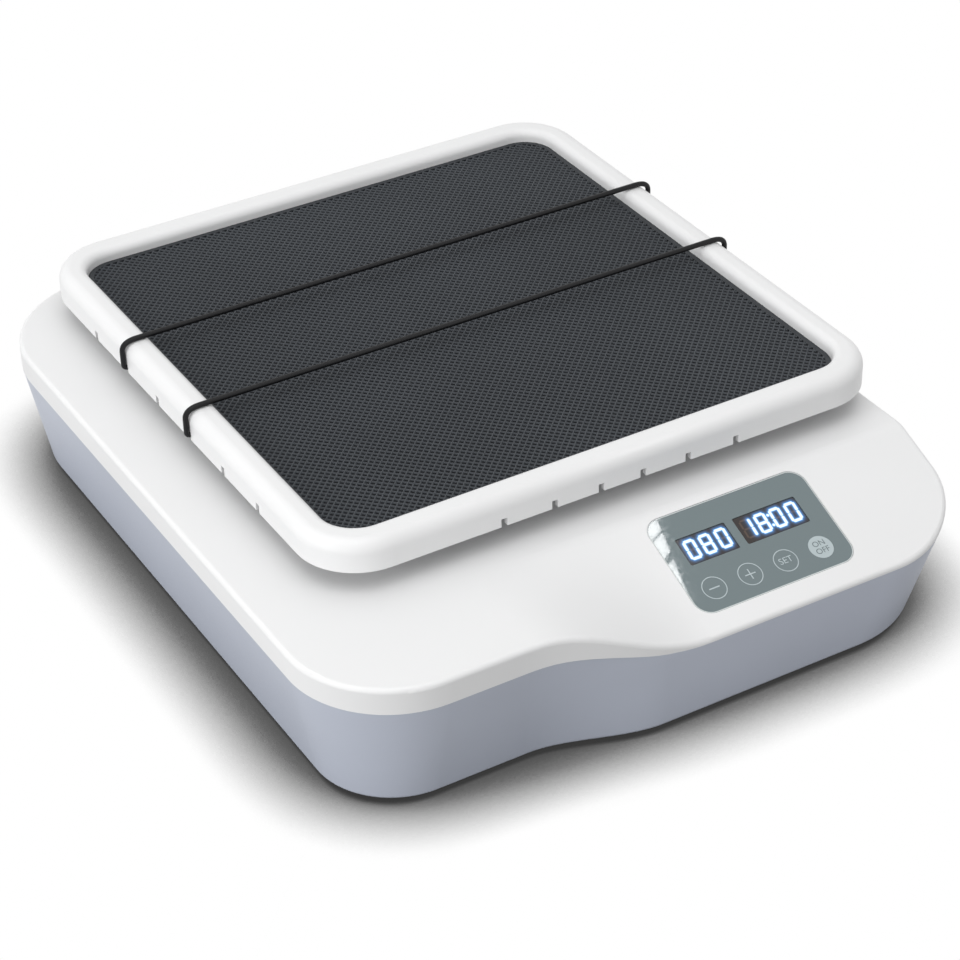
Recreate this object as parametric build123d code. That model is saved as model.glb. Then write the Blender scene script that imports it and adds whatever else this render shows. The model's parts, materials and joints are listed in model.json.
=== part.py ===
from build123d import *
import os
from math import cos, radians, sin, tan

# Orbital shaker for the lab bench, in millimetres.
# +X is the object's right, +Y its rear and +Z up. The origin is the centre of the base's
# footprint, at the undersides of the feet. A motor turns a crank through a belt. The crank and
# four idlers carry the tray round a small circle without turning it.

# Base: plan outline at the parting line between the cover and the shell
base_width = 314.2
base_depth = 379.5
front_set_back = 7.8
swing_start_x = -72.6
swing_end_x = -9.0
front_left_radius = 48.0
front_right_radius = 46.0
front_right_top_radius = 30.0
rear_radius = 58.0

# Lower shell: how far its bottom edge lies inside that outline, and its own corners
bottom_inset_left = 8.8
bottom_inset_right = 8.0
bottom_inset_front = 8.3
bottom_inset_console = 1.9
bottom_inset_rear = 7.7
bottom_swing_start_x = -68.7
bottom_swing_end_x = -9.4
bottom_front_left_radius = 36.5
bottom_front_right_radius = 57.0
bottom_rear_radius = 52.0
bottom_round = 1.5

# Heights and walls of the base
shell_bottom = 3.5
parting_height = 53.7
cover_top = 66.0
wall = 3.0
cover_edge_round = 2.2
cover_rib = 2.0
cover_rib_height = 4.0

# Console: the cover and the parting line slope down to the front, blended in from the left
console_length = 60.65
console_angle = 21.8
console_rounding = 2.8
parting_drop = 14.0
parting_rounding = 12.0
blend_start_x = -65.7
blend_end_x = 13.0

# Control panel, measured across the slope and down it from the slope's upper line
panel_left_x = 14.3
panel_width = 82.5
panel_top = 2.9
panel_length = 52.0
panel_radius = 8.0
panel_thickness = 0.8
panel_pocket = 1.0
panel_gap = 0.15
window_top = 15.8
window_height = 14.3
window_radius = 0.8
speed_window_x = 24.1
speed_window_width = 25.4
time_window_x = 53.7
time_window_width = 32.8
key_line = 43.9
key_first_x = 27.4
key_pitch = 18.57
key_count = 4
touch_pad_radius = 4.5

# Control board under the panel, held by posts on the cover
display_recess = 0.5
display_gap = 0.2
board_depth = 12.4
board_thickness = 1.6
board_corner = 2.0
board_side_margin = 7.0
board_end_margin = 3.5
board_post_radius = 3.2
board_post_inset = 4.5
board_screw_radius = 1.25
board_screw_head_radius = 2.6
board_screw_head = 1.7
board_screw_length = 7.0
board_tip_gap = 0.6

# Fits
seat_gap = 0.03
running_gap = 0.05
axial_gap = 0.1
screw_gap = 0.05
loose_gap = 0.3

# Tray
tray_side_inset = 14.3
tray_end_inset = 40.7
tray_radius = 29.0
tray_clearance = 10.4
tray_height = 14.6
tray_skirt = 2.5
tray_floor_rise = 3.5
tray_floor = 3.0
rim_width = 13.3
rim_front_width = 14.5
rim_top_wall = 3.0
rim_outer_round = 6.0
rim_inner_round = 4.0
rim_rib = 1.6
rim_rib_rise = 4.5
rim_rib_spread = 89.0
tray_screw_cap = 0.5
recess_radius = 16.0
mat_thickness = 2.0
mat_gap = 0.15
slot_width = 3.0
slot_height = 4.0
side_slot_pitch = 33.5
front_slot_offsets = (10.7, 34.1, 59.3)

# Retaining bands: elastic cords from slot to slot across the tray
band_diameter = 2.6
band_gap = 0.1
band_slot_arc = 2.6
band_slots = (("front", -1.5), ("rear", 0.5))
band_height = 2.1
bead_radius = 3.0
bead_length = 5.0

# Crank drive
crank_x = 6.8
crank_y = 28.0
orbit_radius = 10.0
rest_angle = 30.0
idler_side_inset = 62.1
idler_end_inset = 89.75
web_clearance = 1.0
web_thickness = 4.5
web_axis_radius = 12.0
web_pin_radius = 10.0
collar_height = 0.7
collar_radius = 5.6
cup_radius = 15.0
cup_clearance = 0.5
carrier_thickness = 3.0
carrier_edge = 3.0
carrier_hole_radius = 16.0

# Ball bearings
small_bearing_bore_radius = 4.0
small_bearing_radius = 11.0
small_bearing_width = 7.0
large_bearing_bore_radius = 6.0
large_bearing_radius = 14.0
large_bearing_width = 8.0

# Main bearing housing and shaft
housing_flange_radius = 30.0
housing_flange = 5.0
housing_barrel_radius = 19.0
housing_ledge = 4.0
housing_ledge_radius = 11.0
housing_lip = 1.0
housing_screw_circle = 24.5
housing_screw_count = 4
housing_gusset = 3.0
housing_gusset_rise = 12.0
housing_gusset_set_back = 1.0
main_hole_radius = 11.0
main_hub_radius = 8.5
shaft_shoulder = 2.9
shaft_shoulder_radius = 8.0

# Idler housings
idler_flange_radius = 17.0
idler_flange = 4.0
idler_tube_radius = 15.0
idler_ear = 20.5
idler_ear_radius = 5.5
idler_ledge_radius = 9.5
idler_lower_seat = 10.5
idler_top_gap = 2.0
idler_lip = 2.0
idler_hole_radius = 8.0
idler_shaft_tail = 2.0

# Counterweight
counterweight_radius = 55.0
counterweight_half_angle = 55.0
counterweight_thickness = 8.0
counterweight_hub_radius = 15.0

# Pulleys, belt and motor
pulley_bottom = 9.5
pulley_height = 10.0
pulley_flange = 1.0
pulley_flange_rise = 3.0
drive_seat_radius = 42.0
drive_rim_wall = 4.0
drive_web = 3.0
drive_hub_radius = 12.0
drive_hole_radius = 10.0
drive_hole_circle = 25.0
drive_hole_count = 5
motor_seat_radius = 8.4
motor_flange_rise = 1.6
belt_thickness = 1.6
belt_gap = 0.25
motor_offset_x = -93.8
motor_offset_y = -13.0
motor_radius = 21.0
motor_length = 31.5
motor_cap_radius = 8.0
motor_cap = 2.5
motor_boss_radius = 8.0
motor_shaft_radius = 2.5
motor_shaft_in = 20.0
motor_screw_circle = 14.5
motor_screw_count = 4
motor_screw_bite = 3.0
motor_round = 1.5

# Chassis plate on the shell's bosses
plate_bottom = 22.0
plate_thickness = 2.5
plate_margin = 27.0
plate_radius = 14.0
plate_boss_radius = 5.0
plate_boss_inset = 8.0
plate_boss_spread = 58.0
plate_shaft_hole = 9.5
plate_hole_radius = 15.0
plate_hole_inset = 14.0

# Screws
m4_radius = 2.0
m4_head_radius = 3.5
m4_head = 2.4
m3_radius = 1.5
m3_head_radius = 2.8
m3_head = 2.0
screw_bite = 9.0
screw_tip_gap = 1.0

# Feet
foot_front_side_inset = 45.1
foot_front_end_inset = 59.75
foot_rear_side_inset = 39.1
foot_rear_end_inset = 44.75
foot_radius = 11.0
foot_tip_radius = 10.0
foot_recess = 3.0
foot_gap = 0.3
foot_counterbore = 4.4
foot_counterbore_depth = 3.0
foot_pad_wall = 2.5
foot_boss_top = 20.0
foot_boss_cap = 2.0
foot_round = 1.0

# Posts that join the cover and the shell
post_front_side_inset = 29.1
post_front_end_inset = 39.75
post_rear_side_inset = 52.1
post_rear_end_inset = 17.75
post_radius = 5.0
post_joint = 44.0
post_cap = 4.0

# Rear connector bay
bay_x = -38.0
bay_width = 76.0
bay_low = 14.0
bay_high = 41.0
bay_depth = 10.75
inlet_x = -22.0
inlet_flange = 16.0
inlet_flange_thickness = 2.0
inlet_barrel_radius = 5.5
inlet_barrel = 14.0
inlet_bore_radius = 3.2
inlet_bore_depth = 10.0
inlet_pin_radius = 1.05
inlet_pin_sunk = 1.0
switch_x = 16.0
switch_frame_width = 15.0
switch_frame_height = 22.0
switch_frame_lip = 2.0
switch_body_width = 13.0
switch_body_height = 19.6
switch_body_depth = 12.0
switch_back_wall = 2.0
rocker_width = 9.6
rocker_height = 16.0
rocker_crown = 2.6
rocker_dip = 1.2
rocker_edge = 3.8
rocker_depth = 6.6
rocker_back = 4.0
rocker_swing_gap = 0.9
rocker_tilt = 10.0
rocker_pin_radius = 1.0
rocker_pin = 0.8
rocker_pivot_rise = 0.2

# Driver board on the shell's floor and speed sensor over the drive pulley
driver_side_inset = 100.1
driver_end_inset = 53.75
driver_width = 76.0
driver_depth = 56.0
driver_standoff = 7.0
driver_standoff_radius = 3.5
driver_hole_inset = 4.5
sink_width = 20.0
sink_depth = 24.0
sink_height = 10.0
sink_base = 2.5
sink_fin = 1.6
sink_fins = 5
capacitor_radius = 5.0
capacitor_height = 12.0
capacitor_x = 9.0
capacitor_y = 9.0
plug_row_inset = 14.0
plug_row_width = 8.0
plug_row_depth = 30.0
plug_row_height = 8.0
sensor_width = 12.0
sensor_depth = 18.0
sensor_board = 1.6
sensor_corner = 1.0
sensor_chip = 0.5
sensor_chip_side = 4.0
magnet_radius = 1.5
magnet_height = 1.0

# Sizes worked out from those above. Bearing: bore radius, outer radius, width.
# Screw: shank radius, head radius, head height.
small_bearing = (small_bearing_bore_radius, small_bearing_radius, small_bearing_width)
large_bearing = (large_bearing_bore_radius, large_bearing_radius, large_bearing_width)
m4 = (m4_radius, m4_head_radius, m4_head)
m3 = (m3_radius, m3_head_radius, m3_head)
half_width = base_width / 2
half_depth = base_depth / 2
idler_spacing_x = half_width - idler_side_inset
idler_spacing_y = half_depth - idler_end_inset
motor_x = crank_x + motor_offset_x
motor_y = crank_y + motor_offset_y
bay_floor_y = half_depth - bay_depth
bay_mid = (bay_low + bay_high) / 2
driver_x = -half_width + driver_side_inset
driver_y = -half_depth + driver_end_inset
console_start_y = -base_depth / 2 + console_length
console_parting = parting_height - parting_drop
console_slope = tan(radians(console_angle))
wall_on_slope = wall * cos(radians(console_angle))
panel_x = panel_left_x + panel_width / 2
panel_v = panel_top + panel_length / 2
board_width = panel_width + 2 * board_side_margin
board_length = panel_length + 2 * board_end_margin
pin_x = crank_x + orbit_radius * cos(radians(rest_angle))
pin_y = crank_y + orbit_radius * sin(radians(rest_angle))
tray_bottom = cover_top + tray_clearance
tray_top = tray_bottom + tray_height
floor_low = tray_bottom + tray_floor_rise
floor_high = floor_low + tray_floor
tray_width = base_width - 2 * tray_side_inset
tray_depth = base_depth - 2 * tray_end_inset
mat_width = tray_width - 2 * rim_width
mat_depth = tray_depth - 2 * rim_front_width
plate_top = plate_bottom + plate_thickness
web_low = cover_top + web_clearance
web_high = web_low + web_thickness
cup_low = web_high + cup_clearance
cup_bearing_low = web_high + collar_height
cup_bearing_high = cup_bearing_low + small_bearing[2]
carrier_high = floor_low
carrier_low = carrier_high - carrier_thickness
idler_offsets = [(sx * idler_spacing_x, sy * idler_spacing_y) for sy in (-1, 1) for sx in (-1, 1)]
idler_axes = [(crank_x + dx, crank_y + dy) for dx, dy in idler_offsets]
idler_low_bearing = plate_top + idler_lower_seat
idler_top = cover_top - wall - idler_top_gap
idler_high_bearing = idler_top - idler_lip - small_bearing[2]
main_low_bearing = plate_top
main_high_bearing = main_low_bearing + large_bearing[2] + housing_ledge
main_housing_top = main_high_bearing + large_bearing[2] + housing_lip
counterweight_low = main_high_bearing + large_bearing[2] + axial_gap + shaft_shoulder
counterweight_high = counterweight_low + counterweight_thickness
pulley_high = pulley_bottom + pulley_height
crank_grub_height = (counterweight_high + cover_top - wall) / 2
pulley_grub_height = (pulley_high + plate_top) / 2
floor_top = shell_bottom + wall
margin = 4.0
post_points = [
    (-half_width + post_front_side_inset, -half_depth + post_front_end_inset),
    (half_width - post_front_side_inset, -half_depth + post_front_end_inset),
    (half_width - post_rear_side_inset, half_depth - post_rear_end_inset),
    (-half_width + post_rear_side_inset, half_depth - post_rear_end_inset),
]


def disc(radius, low, high, at=(0, 0)):
    """Upright cylinder between two heights."""
    return Pos(at[0], at[1], (low + high) / 2) * Cylinder(radius, high - low)


def ring(outer, inner, low, high, at=(0, 0)):
    """Upright tube between two heights."""
    return disc(outer, low, high, at) - disc(inner, low, high, at)


def slab(width, depth, radius, low, high, at=(0, 0)):
    """Upright block with rounded corners between two heights."""
    return Pos(at[0], at[1], low) * extrude(RectangleRounded(width, depth, radius), high - low)


def box(x0, x1, y0, y1, z0, z1):
    """Block between two corners."""
    return Pos((x0 + x1) / 2, (y0 + y1) / 2, (z0 + z1) / 2) * Box(x1 - x0, y1 - y0, z1 - z0)


def block(at, width, depth, low, high):
    """Upright block between two heights, centred on a place."""
    return Pos(at[0], at[1], (low + high) / 2) * Box(width, depth, high - low)


def screw(kind, at, head_low, bite):
    """Cap screw driven upwards: its head's underside is at head_low plus the head's height."""
    shank, head, height = kind
    top = head_low + height
    return disc(head, head_low, top, at) + disc(shank, head_low, top + bite, at)


def bearing(kind, low, at):
    """Sealed ball bearing with shallow shields between its rings."""
    bore, outer, width = kind
    step = (outer - bore) / 4
    shield = ring(outer - step, bore + step, 0, width / 8)
    body = ring(outer, bore, 0, width) - shield - Pos(0, 0, width * 7 / 8) * shield
    return Pos(at[0], at[1], low) * body


def on_slope(x, v, depth):
    """Place on the console: across, down the slope, and below its surface."""
    tilt = radians(console_angle)
    slope = Plane((0, console_start_y, cover_top), (1, 0, 0), (0, -sin(tilt), cos(tilt)))
    return slope.location * Pos(x, -v, -depth)


def mix(low, high, share):
    """Outline part way between two others."""
    return {name: low[name] + share * (high[name] - low[name]) for name in low}


# Plan outlines of the base at its three levels
seam_edge = {
    "left": -base_width / 2,
    "right": base_width / 2,
    "right_rear": base_width / 2,
    "rear": base_depth / 2,
    "front": -base_depth / 2 + front_set_back,
    "console": -base_depth / 2,
    "swing_start": swing_start_x,
    "swing_end": swing_end_x,
    "front_left": front_left_radius,
    "front_right": front_right_radius,
    "rear_corner": rear_radius,
}
bottom_edge = {
    "left": seam_edge["left"] + bottom_inset_left,
    "right": seam_edge["right"] - bottom_inset_right,
    "right_rear": seam_edge["right"] - bottom_inset_right,
    "rear": seam_edge["rear"] - bottom_inset_rear,
    "front": seam_edge["front"] + bottom_inset_front,
    "console": seam_edge["console"] + bottom_inset_console,
    "swing_start": bottom_swing_start_x,
    "swing_end": bottom_swing_end_x,
    "front_left": bottom_front_left_radius,
    "front_right": bottom_front_right_radius,
    "rear_corner": bottom_rear_radius,
}
middle_share = (console_parting - shell_bottom) / (parting_height - shell_bottom)
middle_edge = mix(bottom_edge, seam_edge, middle_share)
for name in ("right", "console", "front_right"):
    middle_edge[name] = seam_edge[name]
cover_edge = dict(seam_edge, front_right=front_right_top_radius)


def outline(edge, inset=0.0):
    """Plan outline of the base, drawn inwards by the inset."""
    left = edge["left"] + inset
    front = edge["front"] + inset
    console = edge["console"] + inset
    rear = edge["rear"] - inset
    start = edge["swing_start"]
    end = edge["swing_end"]
    third = (end - start) / 3
    corners = [
        (end, console),
        (edge["right"] - inset, console),
        (edge["right_rear"] - inset, rear),
        (left, rear),
        (left, front),
        (start, front),
    ]
    names = ("front_right", "rear_corner", "rear_corner", "front_left")
    sides = FilletPolyline(*corners, radius=[edge[name] - inset for name in names])
    swing = Bezier((start, front), (start + third, front), (end - third, console), (end, console))
    return make_face(sides.edges() + swing.edges())


def tapered(levels):
    """Solid through outlines at rising heights: each level is a height, an edge and an inset."""
    return loft([Pos(0, 0, height) * outline(edge, inset) for height, edge, inset in levels], ruled=True)


def above(height, slope, rounding):
    """Space above a level that slopes down over the console and fades out to the left."""
    far = base_depth
    start = console_start_y
    third = (blend_end_x - blend_start_x) / 3
    across = (
        ((blend_start_x, 0), (blend_start_x + third, 0), (blend_end_x - third, 1), (blend_end_x, 1)),
        ((blend_end_x, 1), (far, 1)),
    )
    down = (
        ((start + rounding, 0), (start, 0), (start - rounding, rounding)),
        ((start - rounding, rounding), (-far, far + start)),
    )
    pieces = [
        box(-far, blend_start_x, -far, start + rounding, height, height + far),
        box(-far, far, start + rounding, far, height, height + far),
    ]
    for columns in across:
        for rows in down:
            points = [[(x, y, height - slope * run * share) for x, share in columns] for y, run in rows]
            pieces.append(Solid.extrude(Face.make_bezier_surface(points), Vector(0, 0, far)))
    return pieces[0].fuse(*pieces[1:])


def above_parting():
    """Space above the parting line between the shell and the cover."""
    return above(parting_height, parting_drop / console_length, parting_rounding)


def upper_rim(body):
    """Edges where the cover's upper faces meet its walls."""
    tops = [face for face in body.faces() if face.normal_at().Z > cos(radians(2 * console_angle))]
    edges = [edge for face in tops for edge in face.edges()]
    return [edge for edge in edges if sum(edge.is_same(other) for other in edges) == 1]


def window(x, width, gap, low, high):
    """Block through the panel at a display window, from one depth below the slope to another."""
    place = on_slope(x + width / 2, window_top + window_height / 2, low)
    shape = RectangleRounded(width - 2 * gap, window_height - 2 * gap, window_radius)
    return place * extrude(shape, low - high)


def windows(gap, low, high):
    """Both display windows."""
    speed = window(speed_window_x, speed_window_width, gap, low, high)
    time = window(time_window_x, time_window_width, gap, low, high)
    return speed + time


def board_points():
    """Screw places of the control board, across and down the slope."""
    half_x = board_width / 2 - board_post_inset
    half_v = board_length / 2 - board_post_inset
    return [(panel_x + sx * half_x, panel_v + sv * half_v) for sx in (-1, 1) for sv in (-1, 1)]


def key_points():
    """Centres of the touch keys, across and down the slope."""
    return [(key_first_x + key_pitch * index, key_line) for index in range(key_count)]


def slope_disc(radius, x, v, low, high):
    """Cylinder square to the slope, from one depth below it up to another."""
    return on_slope(x, v, (low + high) / 2) * Cylinder(radius, low - high)


def cover_ribs():
    """Stiffening ribs under the flat of the cover, two along it and two across it."""
    low = cover_top - wall - cover_rib_height
    length = half_depth - console_start_y
    ribs = []
    for side in (-1, 1):
        along = (crank_x + side * idler_spacing_x / 2, half_depth - length / 2)
        across = (0, crank_y + side * idler_spacing_y / 2)
        ribs.append(block(along, cover_rib, length, low, cover_top))
        ribs.append(block(across, base_width, cover_rib, low, cover_top))
    return ribs[0].fuse(*ribs[1:])


def top_cover():
    """Moulded cover with its sloping console, panel pocket, shaft holes and screw posts."""
    low = console_parting - margin
    high = cover_top + margin
    rise = cover_top - console_parting
    lower_edge = mix(seam_edge, cover_edge, -margin / rise)
    upper_edge = mix(seam_edge, cover_edge, 1 + margin / rise)
    outer = tapered([(low, lower_edge, 0), (high, upper_edge, 0)])
    outer = outer - above(cover_top, console_slope, console_rounding)
    outer = outer.fillet(cover_edge_round, upper_rim(outer))
    hollow = tapered([(low - 1, lower_edge, wall), (high, upper_edge, wall)])
    hollow = hollow - above(cover_top - wall, console_slope, console_rounding) - cover_ribs()
    cover = (outer - hollow) & above_parting()
    for at in post_points:
        cover += disc(post_radius, post_joint, cover_top, at) & outer
        cover -= disc(m3[0] + screw_gap, post_joint - 1, post_joint + screw_bite, at)
    for x, v in board_points():
        cover += slope_disc(board_post_radius, x, v, board_depth, wall_on_slope / 2)
        tip = board_depth + board_thickness - board_screw_length - board_tip_gap
        cover -= slope_disc(board_screw_radius + screw_gap, x, v, board_depth + 1, tip)
    pocket = RectangleRounded(panel_width, panel_length, panel_radius)
    cover -= on_slope(panel_x, panel_v, panel_pocket) * extrude(pocket, 2 * panel_pocket)
    cover -= windows(0, 2 * wall, -1)
    cover -= disc(main_hole_radius, cover_top - 2 * wall, cover_top + 1, (crank_x, crank_y))
    for at in idler_axes:
        cover -= disc(idler_hole_radius, cover_top - 2 * wall, cover_top + 1, at)
    return cover


def foot_points():
    """Centres of the four feet."""
    front_x = half_width - foot_front_side_inset
    rear_x = half_width - foot_rear_side_inset
    front = [(side * front_x, -half_depth + foot_front_end_inset) for side in (-1, 1)]
    rear = [(side * rear_x, half_depth - foot_rear_end_inset) for side in (-1, 1)]
    return front + rear


def plate_boss_points():
    """Screw places of the chassis plate: two along each side and one at each end."""
    half_x = idler_spacing_x + plate_margin - plate_boss_inset
    half_y = idler_spacing_y + plate_margin - plate_boss_inset
    sides = [(sx * half_x, sy * plate_boss_spread) for sx in (-1, 1) for sy in (-1, 1)]
    ends = [(0, sy * half_y) for sy in (-1, 1)]
    return [(crank_x + dx, crank_y + dy) for dx, dy in sides + ends]


def driver_points():
    """Screw places of the driver board."""
    half_x = driver_width / 2 - driver_hole_inset
    half_y = driver_depth / 2 - driver_hole_inset
    return [(driver_x + sx * half_x, driver_y + sy * half_y) for sx in (-1, 1) for sy in (-1, 1)]


def bay(grow):
    """Space of the connector bay, open to the rear, grown by a wall on its other sides."""
    low = (bay_x - grow, bay_floor_y - grow, bay_low - grow)
    high = (bay_x + bay_width + grow, half_depth + margin, bay_high + grow)
    return box(low[0], high[0], low[1], high[1], low[2], high[2])


def lower_shell():
    """Moulded tub with posts, bosses, foot recesses and the connector bay."""
    outer = tapered(
        [
            (shell_bottom, bottom_edge, 0),
            (console_parting, middle_edge, 0),
            (parting_height, seam_edge, 0),
            (parting_height + margin, seam_edge, 0),
        ]
    )
    outer = outer.fillet(bottom_round, outer.edges().group_by(Axis.Z)[0])
    floor_edge = mix(bottom_edge, middle_edge, wall / (console_parting - shell_bottom))
    hollow = tapered(
        [
            (floor_top, floor_edge, wall),
            (console_parting, middle_edge, wall),
            (parting_height, seam_edge, wall),
            (parting_height + margin + 1, seam_edge, wall),
        ]
    )
    shell = (outer - hollow) - above_parting()
    shell += bay(wall) & outer
    shell -= bay(0)
    for at in post_points:
        shell += disc(post_radius, floor_top - 1, post_joint, at)
        shell -= disc(m3[1] + screw_gap, shell_bottom - 1, post_joint - post_cap, at)
        shell -= disc(m3[0] + screw_gap, floor_top, post_joint + 1, at)
    for at in foot_points():
        pad = foot_radius + foot_gap + foot_pad_wall
        shell += disc(pad, floor_top - 1, shell_bottom + foot_recess + wall, at)
        shell += disc(plate_boss_radius, floor_top, foot_boss_top, at)
        shell -= disc(foot_radius + foot_gap, shell_bottom - 1, shell_bottom + foot_recess, at)
        shell -= disc(m4[0] + screw_gap, shell_bottom, foot_boss_top - foot_boss_cap, at)
    for at in plate_boss_points():
        shell += disc(plate_boss_radius, floor_top - 1, plate_bottom, at)
        shell -= disc(m4[0] + screw_gap, plate_bottom - screw_bite - 1, plate_bottom + 1, at)
    for at in driver_points():
        shell += disc(driver_standoff_radius, floor_top - 1, floor_top + driver_standoff, at)
        shell -= disc(m3[0] + screw_gap, floor_top + 1, floor_top + driver_standoff + 1, at)
    inlet_hole = Rot(90, 0, 0) * Cylinder(inlet_barrel_radius + screw_gap, 4 * wall)
    shell -= Pos(inlet_x, bay_floor_y, bay_mid) * inlet_hole
    switch_hole = Box(switch_body_width + 2 * screw_gap, 4 * wall, switch_body_height + 2 * screw_gap)
    return shell - Pos(switch_x, bay_floor_y, bay_mid) * switch_hole


def foot(at):
    """Rubber foot with a counterbored screw hole."""
    high = shell_bottom + foot_recess
    body = Pos(at[0], at[1], high / 2) * Cone(foot_tip_radius, foot_radius, high)
    body = body.fillet(foot_round, body.edges().group_by(Axis.Z)[0])
    body -= disc(foot_counterbore, -1, foot_counterbore_depth, at)
    return body - disc(m4[0] + screw_gap, 0, high + 1, at)


def foot_screws():
    """Screws that hold the feet."""
    low = foot_counterbore_depth - m4[2]
    bite = foot_boss_top - foot_boss_cap - screw_tip_gap - foot_counterbore_depth
    return [screw(m4, at, low, bite) for at in foot_points()]


def cover_screws():
    """Screws up through the shell's posts into the cover's posts."""
    low = post_joint - post_cap - m3[2]
    return [screw(m3, at, low, post_cap + screw_bite - screw_tip_gap) for at in post_points]


def turned(shape, at):
    """The same shape upside down, for screws driven from above."""
    return Pos(at[0], at[1], at[2]) * Rot(180, 0, 0) * shape


def screw_down(kind, at, seat, bite):
    """Cap screw driven downwards, its head on the seat."""
    return turned(screw(kind, (0, 0), 0, bite), (at[0], at[1], seat + kind[2]))


def around(at, radius, count):
    """Places on a circle, the first one half a right angle from +X."""
    angles = [radians(45 + 360 / count * index) for index in range(count)]
    return [(at[0] + radius * cos(angle), at[1] + radius * sin(angle)) for angle in angles]


def housing_screw_points():
    """Screw places of the main housing and the idler housings."""
    main = around((crank_x, crank_y), housing_screw_circle, housing_screw_count)
    ears = [(x + side * idler_ear, y) for x, y in idler_axes for side in (-1, 1)]
    return main, ears


def motor_screw_points():
    """Screw places of the motor's face."""
    return around((motor_x, motor_y), motor_screw_circle, motor_screw_count)


def chassis_plate():
    """Steel plate that carries the housings and the motor."""
    width = 2 * (idler_spacing_x + plate_margin)
    depth = 2 * (idler_spacing_y + plate_margin)
    plate = slab(width, depth, plate_radius, plate_bottom, plate_top, (crank_x, crank_y))
    main, ears = housing_screw_points()
    for at in plate_boss_points() + main + ears:
        plate -= disc(m4[0] + screw_gap, plate_bottom - 1, plate_top + 1, at)
    for at in motor_screw_points():
        plate -= disc(m3[0] + screw_gap, plate_bottom - 1, plate_top + 1, at)
    plate -= disc(motor_boss_radius + screw_gap, plate_bottom - 1, plate_top + 1, (motor_x, motor_y))
    plate -= disc(plate_shaft_hole, plate_bottom - 1, plate_top + 1, (crank_x, crank_y))
    hole_y = idler_spacing_y - plate_hole_inset
    for side in (-1, 1):
        for end in (-1, 1):
            hole = (crank_x + side * idler_spacing_x / 2, crank_y + end * hole_y)
            plate -= disc(plate_hole_radius, plate_bottom - 1, plate_top + 1, hole)
    return plate


def chassis_screws():
    """Screws that hold the chassis plate on the shell's bosses."""
    bite = plate_thickness + screw_bite - screw_tip_gap
    return [screw_down(m4, at, plate_top, bite) for at in plate_boss_points()]


def housing_screws():
    """Screws that hold the bearing housings, through the plate."""
    main, ears = housing_screw_points()
    screws = []
    for places, flange in ((main, housing_flange), (ears, idler_flange)):
        screws += [screw_down(m4, at, plate_top + flange, flange + plate_thickness) for at in places]
    return screws


def main_bearing_housing():
    """Flanged housing of the main shaft's two bearings, with four gussets."""
    at = (crank_x, crank_y)
    flange_top = plate_top + housing_flange
    body = disc(housing_flange_radius, plate_top, flange_top, at)
    body += disc(housing_barrel_radius, plate_top, main_housing_top, at)
    foot = housing_flange_radius - housing_gusset_set_back
    rise = housing_gusset_rise
    top = housing_barrel_radius
    right = [(foot, -1), (foot, 0), (top, rise)]
    left = [(-x, height) for x, height in reversed(right)]
    side = Plane.XZ * make_face(Polyline(*right, *left, close=True))
    gusset = extrude(side, housing_gusset / 2, both=True)
    for turn in (0, 90):
        body += Pos(at[0], at[1], flange_top) * Rot(0, 0, turn) * gusset
    seat = large_bearing[1] + seat_gap
    body -= disc(seat, plate_top - 1, main_low_bearing + large_bearing[2], at)
    body -= disc(housing_ledge_radius, plate_top, main_housing_top, at)
    body -= disc(seat, main_high_bearing, main_housing_top + 1, at)
    for point in housing_screw_points()[0]:
        body -= disc(m4[0] + screw_gap, plate_top - 1, plate_top + housing_flange + 1, point)
    return body


def idler_housing(at):
    """Flanged post with a bearing seat at each end and a screw ear at each side."""
    body = disc(idler_flange_radius, plate_top, plate_top + idler_flange, at)
    ears = SlotCenterToCenter(2 * idler_ear, 2 * idler_ear_radius)
    body += Pos(at[0], at[1], plate_top) * extrude(ears, idler_flange)
    body += disc(idler_tube_radius, plate_top, idler_top, at)
    seat = small_bearing[1] + seat_gap
    body -= disc(seat, plate_top - 1, idler_low_bearing + small_bearing[2], at)
    body -= disc(idler_ledge_radius, plate_top, idler_top, at)
    body -= disc(seat, idler_high_bearing, idler_top + 1, at)
    for side in (-1, 1):
        ear = (at[0] + side * idler_ear, at[1])
        body -= disc(m4[0] + screw_gap, plate_top - 1, plate_top + idler_flange + 1, ear)
    return body


def idler_bearings(at):
    """Lower and upper bearing of one idler."""
    return [bearing(small_bearing, low, at) for low in (idler_low_bearing, idler_high_bearing)]


def crank_web(at):
    """Flat arm between the shaft's axis and the pin's, one orbit radius away."""
    angle = radians(rest_angle)
    pin = (orbit_radius * cos(angle), orbit_radius * sin(angle))
    rims = Circle(web_axis_radius).edges() + (Pos(*pin) * Circle(web_pin_radius)).edges()
    body = Pos(at[0], at[1], web_low) * extrude(make_hull(rims), web_thickness)
    top = (at[0] + pin[0], at[1] + pin[1])
    body += disc(collar_radius, web_high - 1, cup_bearing_low, top)
    return body + disc(small_bearing[0] - running_gap, web_high, cup_bearing_high - axial_gap, top)


def idler_crank(at):
    """Idler: shaft, web and pin in one piece."""
    body = crank_web(at)
    collar_low = idler_high_bearing + small_bearing[2] + axial_gap
    body += disc(collar_radius, collar_low, web_low + 1, at)
    tail = idler_low_bearing - idler_shaft_tail
    return body + disc(small_bearing[0] - running_gap, tail, collar_low + 1, at)


def crank_arm():
    """Driven crank: a hub clamped on the main shaft, its web and its pin."""
    at = (crank_x, crank_y)
    body = crank_web(at) + disc(main_hub_radius, counterweight_high, web_low + 1, at)
    body -= disc(large_bearing[0], counterweight_high - 1, web_high - 1, at)
    return body - grub_screw(crank_grub_height, screw_gap)


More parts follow.
